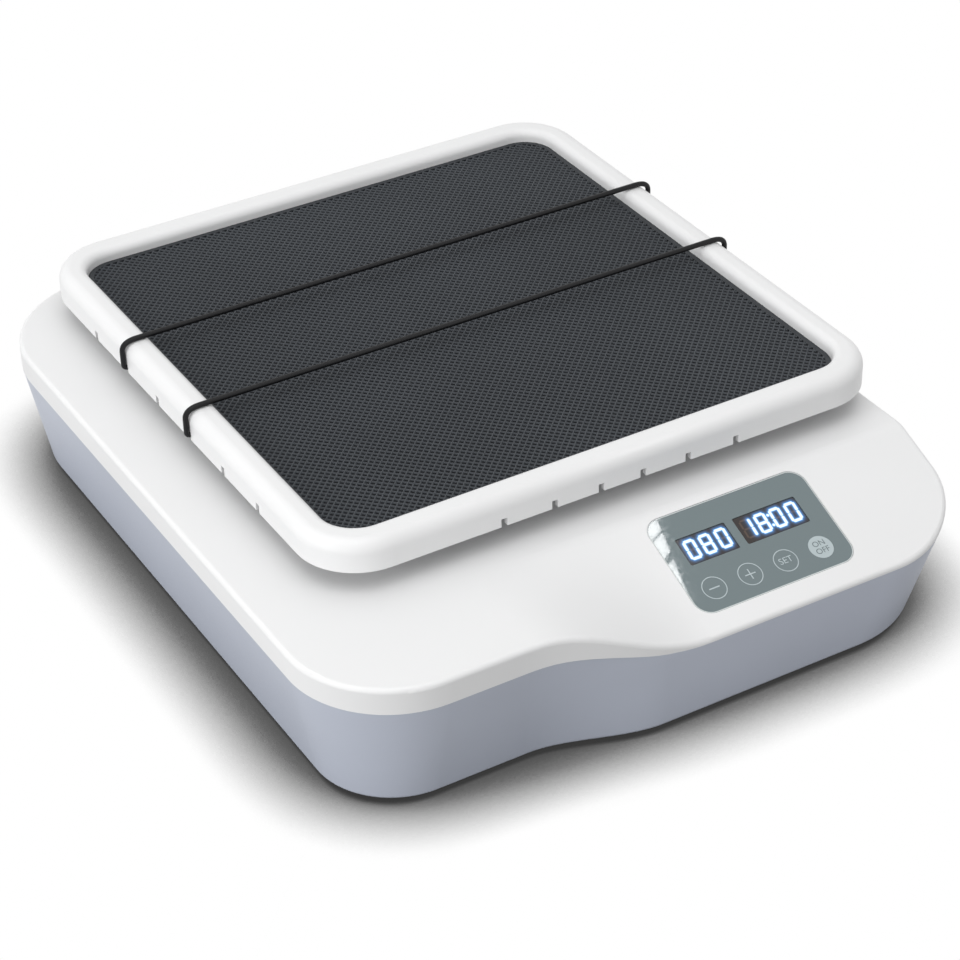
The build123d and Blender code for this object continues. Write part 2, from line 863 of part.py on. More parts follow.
def main_shaft():
    """Main shaft with the shoulder that rests on the upper bearing."""
    at = (crank_x, crank_y)
    body = disc(large_bearing[0] - running_gap, pulley_bottom, web_high - 1, at)
    return body + disc(shaft_shoulder_radius, counterweight_low - shaft_shoulder, counterweight_low, at)


def counterweight():
    """Steel sector opposite the crank pin."""
    at = (crank_x, crank_y)
    first = rest_angle + 180 - counterweight_half_angle
    rim = CenterArc((0, 0), counterweight_radius, first, 2 * counterweight_half_angle)
    sector = make_face([Line((0, 0), rim @ 0), rim, Line(rim @ 1, (0, 0))])
    plan = sector + Circle(counterweight_hub_radius)
    body = Pos(at[0], at[1], counterweight_low) * extrude(plan, counterweight_thickness)
    return body - disc(large_bearing[0], counterweight_low - 1, counterweight_high + 1, at)


def sensor_radius():
    """Radius on which the magnet passes under the sensor."""
    return drive_seat_radius - drive_rim_wall / 2


def drive_pulley():
    """Spoked belt pulley, its hub passing up through the plate to the lower bearing."""
    at = (crank_x, crank_y)
    outer = drive_seat_radius + pulley_flange_rise
    body = disc(outer, pulley_bottom, pulley_high, at)
    groove_low = pulley_bottom + pulley_flange
    groove_high = pulley_high - pulley_flange
    body -= ring(outer + 1, drive_seat_radius, groove_low, groove_high, at)
    hollow = ring(drive_seat_radius - drive_rim_wall, drive_hub_radius, 0, pulley_height, at)
    web_bottom = pulley_bottom + (pulley_height - drive_web) / 2
    body -= Pos(0, 0, web_bottom - pulley_height) * hollow
    body -= Pos(0, 0, web_bottom + drive_web) * hollow
    for index in range(drive_hole_count):
        angle = radians(360 / drive_hole_count * index)
        hole = (crank_x + drive_hole_circle * cos(angle), crank_y + drive_hole_circle * sin(angle))
        body -= disc(drive_hole_radius, pulley_bottom, pulley_high, hole)
    body += disc(main_hub_radius, pulley_bottom, main_low_bearing - axial_gap, at)
    body -= disc(large_bearing[0], pulley_bottom - 1, main_low_bearing, at)
    body -= grub_screw(pulley_grub_height, screw_gap)
    magnet_at = (crank_x + sensor_radius(), crank_y)
    return body - disc(magnet_radius, pulley_high - magnet_height, pulley_high + 1, magnet_at)


def sensor_magnet():
    """Magnet let into the pulley's rim."""
    at = (crank_x + sensor_radius(), crank_y)
    return disc(magnet_radius - seat_gap, pulley_high - magnet_height, pulley_high, at)


def speed_sensor():
    """Sensor board under the chassis plate, over the magnet's path."""
    x = crank_x + sensor_radius()
    low = plate_bottom - sensor_board
    board = slab(sensor_width, sensor_depth, sensor_corner, low, plate_bottom, (x, crank_y))
    half = sensor_chip_side / 2
    return board + box(x - half, x + half, crank_y - half, crank_y + half, low - sensor_chip, low)


def belt_loop(grow):
    """Outline round both pulleys, grown from their seats."""
    drive = Pos(crank_x, crank_y) * Circle(drive_seat_radius + grow)
    motor = Pos(motor_x, motor_y) * Circle(motor_seat_radius + grow)
    return make_hull(drive.edges() + motor.edges())


def drive_belt():
    """Flat belt round both pulleys."""
    low = pulley_bottom + pulley_flange + loose_gap
    height = pulley_height - 2 * (pulley_flange + loose_gap)
    return Pos(0, 0, low) * extrude(belt_loop(belt_gap + belt_thickness) - belt_loop(belt_gap), height)


def motor_pulley():
    """Small belt pulley on the motor's shaft."""
    at = (motor_x, motor_y)
    outer = motor_seat_radius + motor_flange_rise
    body = disc(outer, pulley_bottom, pulley_high, at)
    body -= ring(outer + 1, motor_seat_radius, pulley_bottom + pulley_flange, pulley_high - pulley_flange, at)
    return body - disc(motor_shaft_radius, pulley_bottom - 1, pulley_high + 1, at)


def motor_shaft():
    """Motor shaft, down through the plate to the small pulley."""
    radius = motor_shaft_radius - running_gap
    return disc(radius, pulley_bottom, plate_top + motor_shaft_in, (motor_x, motor_y))


def drive_motor():
    """Motor can with its front boss and rear cap."""
    at = (motor_x, motor_y)
    high = plate_top + motor_length
    body = disc(motor_radius, plate_top, high, at)
    body = body.fillet(motor_round, body.edges().group_by(Axis.Z)[-1])
    body += disc(motor_cap_radius, high - 1, high + motor_cap, at)
    body += disc(motor_boss_radius, plate_bottom, plate_top + 1, at)
    body -= disc(motor_shaft_radius, plate_bottom - 1, plate_top + motor_shaft_in + 1, at)
    for point in motor_screw_points():
        body -= disc(m3[0] + screw_gap, plate_top - 1, plate_top + motor_screw_bite + screw_tip_gap, point)
    return body


def motor_screws():
    """Screws up through the plate into the motor's face."""
    bite = plate_thickness + motor_screw_bite
    return [screw(m3, at, plate_bottom - m3[2], bite) for at in motor_screw_points()]


def grub_screw(height, grow=0.0):
    """Set screw through the wall of a hub on the main shaft; with grow it is the screw's hole."""
    length = main_hub_radius - large_bearing[0]
    middle = (main_hub_radius + large_bearing[0]) / 2
    place = Pos(crank_x, crank_y + middle, height) * Rot(90, 0, 0)
    return place * Cylinder(m4[0] + grow, length + 2 * grow)


def grub_screws():
    """Set screws that clamp the crank's and the pulley's hubs on the main shaft."""
    return [grub_screw(crank_grub_height), grub_screw(pulley_grub_height)]


def panel_overlay():
    """Printed panel with an opening at each display."""
    width = panel_width - 2 * panel_gap
    length = panel_length - 2 * panel_gap
    shape = RectangleRounded(width, length, panel_radius - panel_gap)
    body = on_slope(panel_x, panel_v, panel_pocket) * extrude(shape, panel_thickness)
    return body - windows(0, 2 * panel_pocket, -1)


def display(x, width):
    """Display module from the board up into its window."""
    return window(x, width, display_gap, board_depth, display_recess)


def control_board():
    """Circuit board under the panel, square to the slope."""
    shape = RectangleRounded(board_width, board_length, board_corner)
    body = on_slope(panel_x, panel_v, board_depth + board_thickness) * extrude(shape, board_thickness)
    for x, v in board_points():
        body -= slope_disc(board_screw_radius + screw_gap, x, v, board_depth + 2 * board_thickness, 0)
    return body


def board_screws():
    """Screws up through the control board into the cover's posts."""
    low = board_depth + board_thickness
    screws = []
    for x, v in board_points():
        head = slope_disc(board_screw_head_radius, x, v, low + board_screw_head, low)
        screws.append(head + slope_disc(board_screw_radius, x, v, low, low - board_screw_length))
    return screws


def touch_pads():
    """Conductive pads from the board up to the cover under each touch key."""
    return [slope_disc(touch_pad_radius, x, v, board_depth, wall_on_slope) for x, v in key_points()]


def driver_board():
    """Power board on the shell's standoffs: heat sink with fins, capacitors and a connector row."""
    low = floor_top + driver_standoff
    high = low + board_thickness
    sink_x = driver_x - driver_width / 4
    plug_x = driver_x + driver_width / 2 - plug_row_inset
    body = slab(driver_width, driver_depth, board_corner, low, high, (driver_x, driver_y))
    body += block((sink_x, driver_y), sink_width, sink_depth, high, high + sink_base)
    for index in range(sink_fins):
        fin_x = sink_x + (index / (sink_fins - 1) - 0.5) * (sink_width - sink_fin)
        body += block((fin_x, driver_y), sink_fin, sink_depth, high, high + sink_height)
    for side in (-1, 1):
        spot = (driver_x + capacitor_x, driver_y + side * capacitor_y)
        body += disc(capacitor_radius, high, high + capacitor_height, spot)
    body += block((plug_x, driver_y), plug_row_width, plug_row_depth, high, high + plug_row_height)
    for at in driver_points():
        body -= disc(m3[0] + screw_gap, low - 1, high + 1, at)
    return body


def driver_screws():
    """Screws that hold the driver board."""
    seat = floor_top + driver_standoff + board_thickness
    bite = board_thickness + driver_standoff - 2 * screw_tip_gap
    return [screw_down(m3, at, seat, bite) for at in driver_points()]


def rearward(radius, start, end):
    """Cylinder along +Y between two distances."""
    return Pos(0, (start + end) / 2, 0) * Rot(90, 0, 0) * Cylinder(radius, end - start)


def power_inlet():
    """Low voltage power socket in the rear bay."""
    face = inlet_flange_thickness
    body = Pos(0, face / 2, 0) * Box(inlet_flange, face, inlet_flange)
    body += rearward(inlet_barrel_radius, -inlet_barrel, face)
    body -= rearward(inlet_bore_radius, face - inlet_bore_depth, face)
    body += rearward(inlet_pin_radius, face - inlet_bore_depth - inlet_pin_sunk, face - inlet_pin_sunk)
    return Pos(inlet_x, bay_floor_y, bay_mid) * body


def power_switch_frame():
    """Snap-in frame of the power switch, with blind holes for the rocker's pins."""
    lip = switch_frame_lip
    depth = switch_body_depth
    body = Pos(0, lip / 2, 0) * Box(switch_frame_width, lip, switch_frame_height)
    body += Pos(0, (lip - depth) / 2, 0) * Box(switch_body_width, lip + depth, switch_body_height)
    inside_width = rocker_width + 2 * loose_gap
    inside_height = rocker_height + 2 * rocker_swing_gap
    inside_depth = depth - switch_back_wall
    body -= Pos(0, lip - inside_depth / 2, 0) * Box(inside_width, inside_depth, inside_height)
    pin_length = rocker_width + 2 * (rocker_pin + loose_gap)
    pins = Rot(0, 90, 0) * Cylinder(rocker_pin_radius + running_gap, pin_length)
    body -= Pos(0, rocker_pivot_rise, 0) * pins
    return Pos(switch_x, bay_floor_y, bay_mid) * body


def power_switch_rocker():
    """Rocker with a hollowed face, tilted to its off position."""
    top = rocker_height / 2
    edge = (rocker_crown - rocker_edge, top - 1)
    back = (rocker_crown - rocker_depth, rocker_back / 2)
    front = [(rocker_crown, top), (rocker_crown - rocker_dip, 0), (rocker_crown, -top)]
    rear = [(edge[0], -edge[1]), (back[0], -back[1]), back, edge]
    side = Plane.YZ * make_face(Polyline(*front, *rear, close=True))
    body = Pos(-rocker_width / 2, 0, 0) * extrude(side, rocker_width)
    body += Rot(0, 90, 0) * Cylinder(rocker_pin_radius, rocker_width + 2 * rocker_pin)
    pivot = Pos(switch_x, bay_floor_y + rocker_pivot_rise, bay_mid)
    return pivot * Rot(-rocker_tilt, 0, 0) * body


def tray_block(inset, low, high):
    """Block of the tray's outline, drawn inwards by the inset."""
    width = tray_width - 2 * inset
    depth = tray_depth - 2 * inset
    return slab(width, depth, tray_radius - inset, low, high, (pin_x, pin_y))


def recess_block(grow, low, high):
    """Block of the recess that holds the mat, grown outwards."""
    width = mat_width + 2 * (mat_gap + grow)
    depth = mat_depth + 2 * (mat_gap + grow)
    return slab(width, depth, recess_radius + mat_gap + grow, low, high, (pin_x, pin_y))


def slot_places():
    """Places of the skirt's slots, each with its direction along X or Y."""
    places = []
    for side in (-1, 1):
        for index in range(-3, 3):
            along = (index + 0.5) * side_slot_pitch
            places.append((pin_x + side * (tray_width - tray_skirt) / 2, pin_y + along, 0))
        for offset in front_slot_offsets:
            for sign in (-1, 1):
                places.append((pin_x + sign * offset, pin_y + side * (tray_depth - tray_skirt) / 2, 90))
    return places


def rim_ribs():
    """Blocks across the whole tray that leave a rib where they cross the hollow rim."""
    low = tray_bottom + rim_rib_rise
    ribs = []
    for step in (-1, 0, 1):
        beside = (pin_x + step * rim_rib_spread, pin_y)
        behind = (pin_x, pin_y + 2 * step * side_slot_pitch)
        ribs.append(block(beside, rim_rib, tray_depth, low, tray_top))
        ribs.append(block(behind, tray_width, rim_rib, low, tray_top))
    return ribs[0].fuse(*ribs[1:])


def tray():
    """Moulded tray: rounded hollow rim, thin skirt with slots, and a recess for the mat."""
    body = tray_block(0, tray_bottom, tray_top)
    body = body.fillet(rim_outer_round, body.edges().group_by(Axis.Z)[-1])
    recess = recess_block(0, floor_high, tray_top + 1)
    body -= recess
    inner = [edge for edge in body.edges().group_by(Axis.Z)[-1] if inside_rim(edge)]
    body = body.fillet(rim_inner_round, inner)
    cavity = tray_block(tray_skirt, tray_bottom - 1, tray_top - rim_top_wall)
    cavity = cavity.fillet(tray_skirt, cavity.edges().group_by(Axis.Z)[-1])
    cavity -= recess_block(tray_skirt, floor_low, tray_top)
    cavity -= rim_ribs()
    body -= cavity
    for x, y, turn in slot_places():
        cut = Box(2 * tray_skirt, slot_width, 2 * slot_height)
        body -= Pos(x, y, tray_bottom) * Rot(0, 0, turn) * cut
    for at in carrier_points():
        body -= disc(m4[0] + screw_gap, floor_low - 1, floor_high - tray_screw_cap, at)
    return body


def inside_rim(edge):
    """True for the edges round the recess, false for those at the rim's outside."""
    spot = edge.center()
    across = abs(spot.X - pin_x) < mat_width / 2 + 2
    return across and abs(spot.Y - pin_y) < mat_depth / 2 + 2


def tray_mat():
    """Rubber mat in the tray's recess."""
    high = floor_high + mat_thickness
    return slab(mat_width, mat_depth, recess_radius, floor_high, high, (pin_x, pin_y))


def carrier_points():
    """Screw places between the carrier and the tray."""
    half_x = idler_spacing_x
    half_y = idler_spacing_y / 2
    return [(pin_x + sx * half_x, pin_y + sy * half_y) for sx in (-1, 0, 1) for sy in (-1, 1)]


def carrier_axes():
    """Centres of the carrier's five bearing cups: the driven one first."""
    return [(pin_x, pin_y)] + [(pin_x + dx, pin_y + dy) for dx, dy in idler_offsets]


def tray_carrier():
    """Plate under the tray with five bearing cups."""
    reach = cup_radius + carrier_edge
    width = 2 * (idler_spacing_x + reach)
    depth = 2 * (idler_spacing_y + reach)
    body = slab(width, depth, reach, carrier_low, carrier_high, (pin_x, pin_y))
    for at in carrier_axes():
        body += disc(cup_radius, cup_low, carrier_high, at)
        body -= disc(small_bearing[1] + seat_gap, cup_low - 1, cup_bearing_high, at)
    for at in carrier_points():
        body -= disc(m4[0] + screw_gap, carrier_low - 1, carrier_high + 1, at)
    for side in (-1, 1):
        for end in (-1, 1):
            hole = (pin_x + side * idler_spacing_x / 2, pin_y + end * idler_spacing_y / 2)
            body -= disc(carrier_hole_radius, carrier_low - 1, carrier_high + 1, hole)
    return body


def carrier_screws():
    """Screws that hold the carrier under the tray."""
    bite = carrier_high - carrier_low + tray_floor - screw_tip_gap
    return [screw(m4, at, carrier_low - m4[2], bite) for at in carrier_points()]


def band_path(y):
    """Route of a band's centre line: out of a slot, over both rims and into the slot opposite."""
    slot_z = tray_bottom + band_height
    across_z = tray_top + band_diameter / 2 + band_gap
    end = tray_width / 2 - tray_skirt
    side = tray_width / 2 + band_diameter / 2 + band_gap
    left = [(pin_x - end, y, slot_z), (pin_x - side, y, slot_z), (pin_x - side, y, across_z)]
    right = [(pin_x + side, y, across_z), (pin_x + side, y, slot_z), (pin_x + end, y, slot_z)]
    rim_arc = rim_outer_round + band_diameter / 2 + band_gap
    radii = [band_slot_arc, rim_arc, rim_arc, band_slot_arc]
    return FilletPolyline(*left, *right, radius=radii), radii


def band(name, step):
    """One retaining band."""
    y = pin_y + step * side_slot_pitch
    path, radii = band_path(y)
    section = Plane(path @ 0, z_dir=path % 0) * Circle(band_diameter / 2)
    body = sweep(section, path)
    share = body.volume / (section.area * path.length)
    print(name, "band: radii", radii, "length", round(path.length, 1), "volume share", round(share, 4))
    return body


def band_beads():
    """End stops of the bands, behind the skirt's slots."""
    middle = tray_width / 2 - tray_skirt - bead_length / 2
    beads = []
    for _, step in band_slots:
        for side in (-1, 1):
            place = Pos(pin_x + side * middle, pin_y + step * side_slot_pitch, tray_bottom + band_height)
            beads.append(place * Rot(0, 90, 0) * Cylinder(bead_radius, bead_length))
    return beads


def nodes():
    """Every piece of the object by name; a list holds alike pieces."""
    feet = foot_points()
    found = {
        "lower_shell": lower_shell(),
        "top_cover": top_cover(),
        "panel_overlay": panel_overlay(),
        "display_speed": display(speed_window_x, speed_window_width),
        "display_time": display(time_window_x, time_window_width),
        "control_board": control_board(),
        "touch_pads": touch_pads(),
        "board_screws": board_screws(),
        "driver_board": driver_board(),
        "driver_screws": driver_screws(),
        "foot_front_left": foot(feet[0]),
        "foot_front_right": foot(feet[1]),
        "foot_rear_left": foot(feet[2]),
        "foot_rear_right": foot(feet[3]),
        "foot_screws": foot_screws(),
        "cover_screws": cover_screws(),
        "chassis_plate": chassis_plate(),
        "chassis_screws": chassis_screws(),
        "housing_screws": housing_screws(),
        "main_bearing_housing": main_bearing_housing(),
        "main_bearing_lower": bearing(large_bearing, main_low_bearing, (crank_x, crank_y)),
        "main_bearing_upper": bearing(large_bearing, main_high_bearing, (crank_x, crank_y)),
        "main_shaft": main_shaft(),
        "crank_arm": crank_arm(),
        "counterweight": counterweight(),
        "drive_pulley": drive_pulley(),
        "grub_screws": grub_screws(),
        "sensor_magnet": sensor_magnet(),
        "speed_sensor": speed_sensor(),
        "drive_belt": drive_belt(),
        "drive_motor": drive_motor(),
        "motor_screws": motor_screws(),
        "motor_shaft": motor_shaft(),
        "motor_pulley": motor_pulley(),
        "power_inlet": power_inlet(),
        "power_switch_frame": power_switch_frame(),
        "power_switch_rocker": power_switch_rocker(),
        "tray": tray(),
        "tray_mat": tray_mat(),
        "tray_carrier": tray_carrier(),
        "carrier_screws": carrier_screws(),
        "carrier_bearing_main": bearing(small_bearing, cup_bearing_low, carrier_axes()[0]),
        "band_beads": band_beads(),
    }
    for name, step in band_slots:
        found["band_" + name] = band(name, step)
    for index, at in enumerate(idler_axes, 1):
        found["idler_housing_%d" % index] = idler_housing(at)
        found["idler_bearings_%d" % index] = idler_bearings(at)
        found["idler_crank_%d" % index] = idler_crank(at)
    outer_bearings = [bearing(small_bearing, cup_bearing_low, at) for at in carrier_axes()[1:]]
    found["carrier_bearings_outer"] = outer_bearings
    return found


os.makedirs("parts", exist_ok=True)
for name, shape in nodes().items():
    whole = Compound(shape) if isinstance(shape, list) else shape
    export_step(whole, "parts/%s.step" % name)
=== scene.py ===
import json
import math

import bpy
from mathutils import Matrix, Vector


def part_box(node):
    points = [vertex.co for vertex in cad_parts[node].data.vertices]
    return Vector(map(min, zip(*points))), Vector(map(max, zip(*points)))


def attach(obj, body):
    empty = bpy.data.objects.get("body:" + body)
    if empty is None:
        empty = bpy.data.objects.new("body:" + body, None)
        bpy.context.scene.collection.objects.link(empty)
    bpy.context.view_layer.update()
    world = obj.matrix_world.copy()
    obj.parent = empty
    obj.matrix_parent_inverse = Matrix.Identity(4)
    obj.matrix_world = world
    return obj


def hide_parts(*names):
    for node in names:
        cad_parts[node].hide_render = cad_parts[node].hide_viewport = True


# Orbital shaker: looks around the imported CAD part, in metres and in the part's own frame.

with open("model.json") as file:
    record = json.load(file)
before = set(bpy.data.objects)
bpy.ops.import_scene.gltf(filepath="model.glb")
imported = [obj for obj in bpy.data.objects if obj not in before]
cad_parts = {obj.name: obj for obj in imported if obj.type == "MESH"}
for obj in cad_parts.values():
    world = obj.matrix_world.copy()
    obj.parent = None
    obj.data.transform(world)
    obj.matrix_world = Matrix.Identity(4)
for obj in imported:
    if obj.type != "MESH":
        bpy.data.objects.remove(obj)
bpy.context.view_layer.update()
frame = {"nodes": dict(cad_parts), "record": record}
nodes = frame["nodes"]
MM = 0.001

# Camera, fitted to the straight edges of the photograph
camera_place = Vector((-0.52458, -0.93608, 0.74821))
camera_azimuth = math.radians(29.785)
camera_elevation = math.radians(34.278)
camera_roll = math.radians(-1.4015)
camera_lens = 103.45
camera_sensor = 36.0
camera_reach = 20.0

# The crank pin under the middle of the tray, in millimetres
pin = Vector((15.4603, 33.0, 0.0))

# Retaining bands: the route's points beside the pin, across and up, in millimetres
band_route = (
    (-140.3, 78.5),
    (-144.2, 78.5),
    (-144.2, 82.4),
    (-144.2, 92.4),
    (-128.6, 92.4),
    (128.6, 92.4),
    (144.2, 92.4),
    (144.2, 82.4),
    (144.2, 78.5),
    (140.3, 78.5),
)
band_places = {"band_front": -17.25, "band_rear": 49.75}
band_diameter = 2.6

# Mat: crossed ridges at 45 degrees to its edges, in millimetres
mat_pitch = 2.62
mat_lines = 90
ridge_foot = 1.05
ridge_crest = 0.40
mat_border = 2.6
rim_round = 0.12
ridge_height = 0.6
ridge_shoulder = 0.86
ridge_step = 0.02
shortest_ridge = 1.0
mat_corner = 16.0
corner_steps = 10

# Control panel: the plane of the slope, in millimetres across it, down it and out of it
slope_line = -129.1
slope_top = 66.0
slope_angle = math.radians(21.8)
overlay_face = -0.2
display_face = -0.5
key_first = 27.4
key_pitch = 18.57
key_line = 43.6
key_radius = 5.75
key_line_width = 0.42
key_mark = 5.3
key_minus_width = 0.6
key_plus_width = 0.55
key_word_size = 4.4
key_pair_size = 4.0
key_pair_offset = 1.9
ring_steps = 72
panel_middle = 28.9
panel_length = 51.7
panel_corner = 7.85
lip_width = 0.45
lip_inset = 0.05
lip_low = 0.02
lip_high = 0.06
print_lift = 0.03
post_lift = 0.04
letter_lift = 0.05

# Studio: the card's edge is a line down the panel, its panes are shares of that line
floor_half = 6.0
floor_drop = 0.0003
floor_bounce = 0.35
floor_shadow_reach = 0.050
floor_shadow = ((0.30, 0.04), (0.50, 0.14), (0.66, 0.50), (0.86, 1.0))
card_line = ((23.1, 1.5), (15.3, 39.0))
card_panes = ((-0.06, 0.20), (0.235, 0.50), (0.60, 1.15))
card_far = -13.0
card_slant = 6.0
card_distance = 0.15
card_strength = 12.0
lamp_target = (0.0, 0.0, 0.05)
sky_low = 0.44
sky_high = 0.86


# Small helpers


def camera():
    """The photograph's camera: it looks to the rear, down and a little tilted."""
    data = bpy.data.cameras.new("camera")
    data.lens = camera_lens
    data.sensor_width = camera_sensor
    data.clip_end = camera_reach
    obj = bpy.data.objects.new("camera", data)
    bpy.context.collection.objects.link(obj)
    sa, ca = math.sin(camera_azimuth), math.cos(camera_azimuth)
    se, ce = math.sin(camera_elevation), math.cos(camera_elevation)
    view = Vector((sa * ce, ca * ce, -se))
    level = Vector((ca, -sa, 0.0))
    upright = level.cross(view)
    right = level * math.cos(camera_roll) + upright * math.sin(camera_roll)
    up = right.cross(view)
    turn = Matrix((right, up, -view)).transposed().to_4x4()
    obj.matrix_world = Matrix.Translation(camera_place) @ turn
    bpy.context.scene.camera = obj


def mesh_piece(name, vertices, faces, material, body):
    """A mesh object from plain lists, in millimetres, that rides on a body."""
    mesh = bpy.data.meshes.new(name)
    mesh.from_pydata([Vector(v) * MM for v in vertices], [], faces)
    mesh.validate()
    obj = bpy.data.objects.new(name, mesh)
    bpy.context.collection.objects.link(obj)
    obj.data.materials.append(material)
    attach(obj, body)
    return obj


def on_slope(x, down, out):
    """Point of the console: across, down the slope and out of it."""
    s, c = math.sin(slope_angle), math.cos(slope_angle)
    return Vector((x, slope_line - down * c - out * s, slope_top - down * s + out * c))


def new_material(name):
    """An empty node material with a Principled shader."""
    material = bpy.data.materials.new(name)
    material.use_nodes = True
    tree = material.node_tree
    shader = next(node for node in tree.nodes if node.type == "BSDF_PRINCIPLED")
    return material, tree, shader


def noise(tree, scale, detail=3.0, roughness=0.55, stretch=None):
    """Noise in the part's own frame; scale is in waves per metre."""
    coordinates = tree.nodes.new("ShaderNodeTexCoord")
    mapping = tree.nodes.new("ShaderNodeMapping")
    if stretch:
        mapping.inputs["Scale"].default_value = stretch
    pattern = tree.nodes.new("ShaderNodeTexNoise")
    pattern.inputs["Scale"].default_value = scale
    pattern.inputs["Detail"].default_value = detail
    pattern.inputs["Roughness"].default_value = roughness
    tree.links.new(coordinates.outputs["Object"], mapping.inputs["Vector"])
    tree.links.new(mapping.outputs["Vector"], pattern.inputs["Vector"])
    return pattern.outputs["Fac"]


def spread(tree, value, low, high):
    """A pattern's middle range turned into a range of another value."""
    node = tree.nodes.new("ShaderNodeMapRange")
    node.inputs["From Min"].default_value = 0.3
    node.inputs["From Max"].default_value = 0.7
    node.inputs["To Min"].default_value = low
    node.inputs["To Max"].default_value = high
    tree.links.new(value, node.inputs["Value"])
    return node.outputs["Result"]


def blended(tree, value, first, second):
    """A colour between two colours, chosen by a pattern."""
    node = tree.nodes.new("ShaderNodeValToRGB")
    node.color_ramp.elements[0].position = 0.3
    node.color_ramp.elements[1].position = 0.7
    node.color_ramp.elements[0].color = (*first, 1.0)
    node.color_ramp.elements[1].color = (*second, 1.0)
    tree.links.new(value, node.inputs["Fac"])
    return node.outputs["Color"]


def surface(name, colour, rough, grain, depth, vary=0.04, metallic=0.0, coat=0.0, stretch=None, specular=0.5):
    """Finish with a slight variation of colour and roughness, and a fine grain."""
    material, tree, shader = new_material(name)
    wide = noise(tree, 9.0)
    fine = noise(tree, grain, 2.0, 0.6, stretch)
    first = tuple(c * (1.0 - vary) for c in colour)
    second = tuple(min(1.0, c * (1.0 + vary)) for c in colour)
    tint = blended(tree, wide, first, second)
    tree.links.new(tint, shader.inputs["Base Color"])
    tree.links.new(spread(tree, fine, rough - 0.05, rough + 0.06), shader.inputs["Roughness"])
    bump = tree.nodes.new("ShaderNodeBump")
    bump.inputs["Strength"].default_value = 1.0
    bump.inputs["Distance"].default_value = depth
    tree.links.new(fine, bump.inputs["Height"])
    tree.links.new(bump.outputs["Normal"], shader.inputs["Normal"])
    shader.inputs["Metallic"].default_value = metallic
    shader.inputs["Specular IOR Level"].default_value = specular
    if coat:
        shader.inputs["Coat Weight"].default_value = coat
        shader.inputs["Coat Roughness"].default_value = 0.03
    return material


def dress(material, *names):
    """Gives CAD nodes their finish."""
    for name in names:
        node = nodes[name]
        node.data.materials.clear()
        node.data.materials.append(material)


camera()

# Finishes: colour, roughness, waves of grain per metre, depth of the grain in metres, variation

turning = (1.0, 1.0, 30.0)
white = surface("white_shell_plastic", (0.83, 0.832, 0.835), 0.42, 1400.0, 0.00002, 0.012)
tray_white = surface("white_tray_plastic", (0.83, 0.832, 0.835), 0.36, 1600.0, 0.000015, 0.012)
grey = surface("grey_shell_plastic", (0.485, 0.52, 0.605), 0.40, 1400.0, 0.000025, 0.03)
# The mat is one rubber in two tones: the near-black sheet is painted shade between the ridges, the lighter
# ridges carry a painted sheen
rubber_painted_shade = surface("mat_rubber", (0.003, 0.004, 0.006), 0.50, 900.0, 0.00005, 0.10, specular=0.15)
rubber_painted_sheen = surface("mat_ridge_painted_sheen", (0.046, 0.052, 0.060), 0.42, 1200.0, 0.00003, 0.10, specular=0.3)
border = surface("mat_border_rubber", (0.030, 0.034, 0.039), 0.45, 1200.0, 0.00003, 0.10, specular=0.3)
elastic = surface("black_elastic", (0.004, 0.004, 0.005), 0.45, 1800.0, 0.00005, 0.2, specular=0.3)
film = surface("panel_film", (0.14, 0.185, 0.195), 0.06, 500.0, 0.000002, 0.01, coat=0.6)
print_light = surface("panel_print", (0.46, 0.53, 0.55), 0.40, 900.0, 0.000004, 0.02)
lip_finish = surface("panel_lip", (0.62, 0.66, 0.66), 0.20, 900.0, 0.000004, 0.02, coat=0.5)
print_dark = surface("panel_print_dark", (0.12, 0.155, 0.165), 0.40, 900.0, 0.000004, 0.02)
smoked = surface("smoked_window", (0.016, 0.011, 0.009), 0.12, 600.0, 0.000002, 0.05)
steel = surface("zinc_steel", (0.60, 0.61, 0.62), 0.32, 700.0, 0.00002, 0.05, metallic=1.0)
aluminium = surface("turned_aluminium", (0.72, 0.73, 0.74), 0.28, 500.0, 0.00001, 0.04, 1.0, stretch=turning)
ground = surface("ground_steel", (0.66, 0.67, 0.68), 0.14, 900.0, 0.000004, 0.03, metallic=1.0)
turned = surface("turned_steel", (0.52, 0.53, 0.54), 0.24, 500.0, 0.000008, 0.04, 1.0, stretch=turning)
foot_rubber = surface("foot_rubber", (0.03, 0.03, 0.031), 0.70, 900.0, 0.00006, 0.12)
belt_rubber = surface("belt_rubber", (0.02, 0.02, 0.021), 0.60, 1200.0, 0.00005, 0.12)
board_green = surface("solder_mask", (0.015, 0.13, 0.06), 0.26, 400.0, 0.00001, 0.12, coat=0.3)
foam = surface("pad_foam", (0.09, 0.09, 0.10), 0.85, 2600.0, 0.0002, 0.15)
motor_paint = surface("motor_paint", (0.10, 0.10, 0.11), 0.36, 800.0, 0.00002, 0.06)
black = surface("black_connector_plastic", (0.022, 0.022, 0.024), 0.42, 1500.0, 0.00003, 0.10)
nickel = surface("nickel_plate", (0.70, 0.70, 0.68), 0.12, 900.0, 0.000003, 0.02, metallic=1.0)

finishes = {
    "cover_white": white,
    "shell_grey": grey,
    "mat_rubber": rubber_painted_shade,
    "elastic_black": elastic,
    "panel_film": film,
    "display_window": smoked,
    "circuit_board": board_green,
    "pad_foam": foam,
    "screw_steel": steel,
    "foot_rubber": foot_rubber,
    "plate_steel": steel,
    "housing_aluminium": aluminium,
    "bearing_steel": ground,
    "shaft_steel": turned,
    "magnet_metal": nickel,
    "belt_rubber": belt_rubber,
    "motor_metal": motor_paint,
    "connector_black": black,
}
for part in frame["record"]["subparts"]:
    dress(finishes[part["material_slot"]], part["node"])
dress(tray_white, "tray")


# Retaining bands


